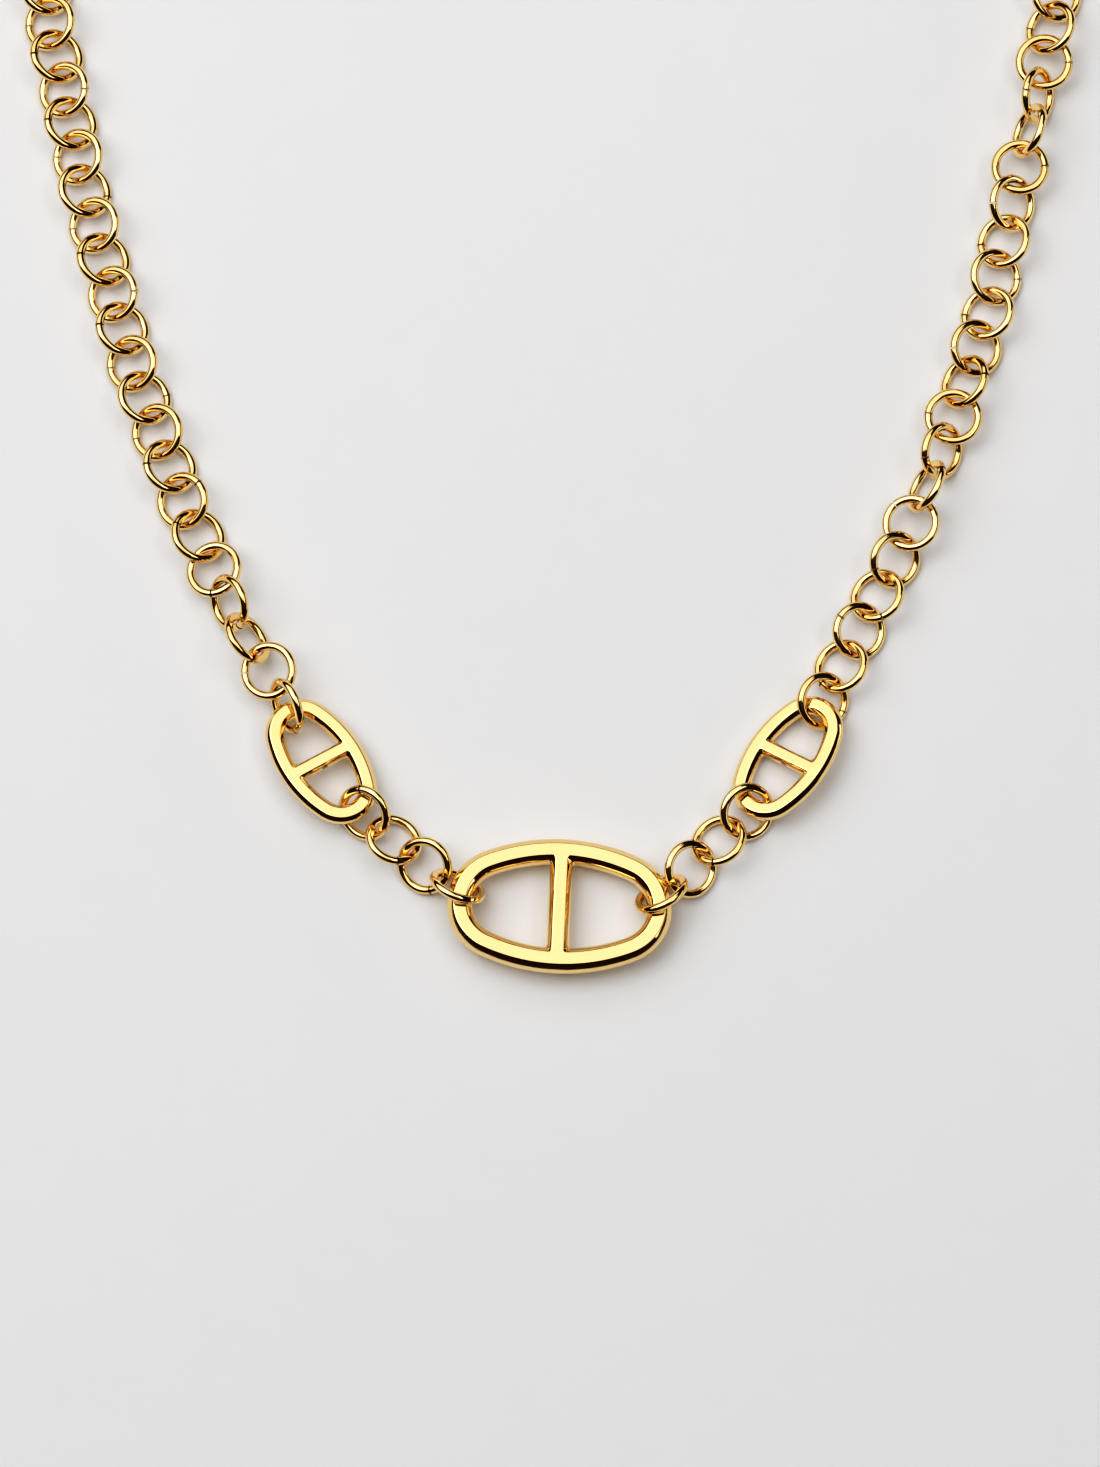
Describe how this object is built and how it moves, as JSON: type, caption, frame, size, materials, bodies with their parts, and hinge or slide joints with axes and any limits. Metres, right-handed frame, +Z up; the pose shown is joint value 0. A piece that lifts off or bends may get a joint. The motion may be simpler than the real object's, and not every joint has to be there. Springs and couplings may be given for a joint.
{
  "type": "necklace",
  "caption": "Gold-plated necklace of round jump rings with a large oval anchor link in front, a smaller one on each side and a plain clasp.",
  "frame": {"origin": "middle of the footprint of the necklace, on the surface that it lies on", "axes": "+X to the right with the large link nearest the viewer, +Y from the large link towards the clasp, +Z up from the surface"},
  "size_m": [0.133, 0.1831, 0.0067],
  "materials": {
    "gold_plate": "polished gold plate over brass"
  },
  "bodies": {
    "root": {"large_link": "gold_plate", "small_link_left": "gold_plate", "small_link_right": "gold_plate", "joining_ring_left_1": "gold_plate", "joining_ring_left_2": "gold_plate", "joining_ring_left_3": "gold_plate", "joining_ring_left_4": "gold_plate", "joining_ring_right_1": "gold_plate", "joining_ring_right_2": "gold_plate", "joining_ring_right_3": "gold_plate", "joining_ring_right_4": "gold_plate", "chain_left": "gold_plate", "chain_right": "gold_plate", "clasp": "gold_plate"}
  },
  "joints": []
}
